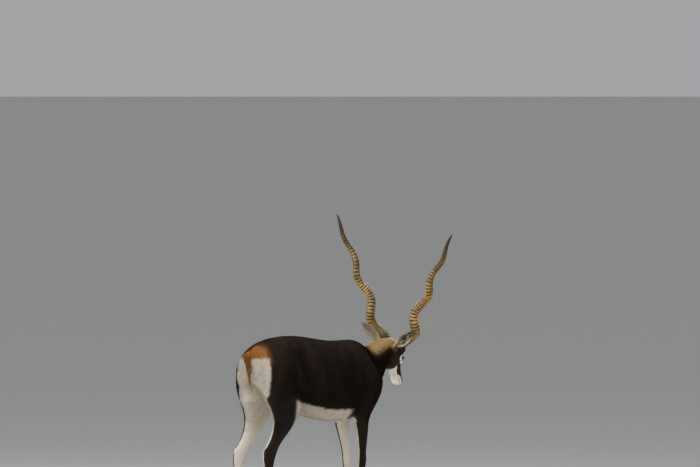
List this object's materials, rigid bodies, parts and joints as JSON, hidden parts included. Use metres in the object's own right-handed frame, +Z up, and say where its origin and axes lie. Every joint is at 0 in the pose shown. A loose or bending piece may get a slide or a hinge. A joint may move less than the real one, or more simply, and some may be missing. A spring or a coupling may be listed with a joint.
{
  "type": "blackbuck",
  "caption": "Life-size standing male blackbuck with a lowered head, long ringed spiral horns in a wide V, cupped ears, slender legs and cloven hooves.",
  "frame": {"origin": "on the floor under the middle of the whole model's bounding box", "axes": "+Z up, the body faces -Y, +X is towards the animal's left side"},
  "size_m": [0.5566, 1.1028, 1.3269],
  "materials": {
    "coat_dark": "short sleek dark brown to black coat",
    "coat_nape": "short golden cream coat of the nape",
    "coat_fawn": "short fawn coat of the ears",
    "coat_rufous": "rufous and dark tail hair",
    "horn": "ringed olive brown horn with dark grooves and dark tips",
    "hoof": "black hoof horn with a low sheen",
    "eye": "wet dark eye"
  },
  "bodies": {
    "root": {"torso": "coat_dark", "neck": "coat_nape", "head": "coat_dark", "tail": "coat_rufous", "leg_front_left": "coat_dark", "leg_front_right": "coat_dark", "leg_hind_left": "coat_dark", "leg_hind_right": "coat_dark", "hoof_front_left_inner": "hoof", "hoof_front_left_outer": "hoof", "hoof_front_right_inner": "hoof", "hoof_front_right_outer": "hoof", "hoof_hind_left_inner": "hoof", "hoof_hind_left_outer": "hoof", "hoof_hind_right_inner": "hoof", "hoof_hind_right_outer": "hoof", "ear_left": "coat_fawn", "ear_right": "coat_fawn", "eye_left": "eye", "eye_right": "eye", "horn_left": "horn", "horn_right": "horn"}
  },
  "joints": []
}
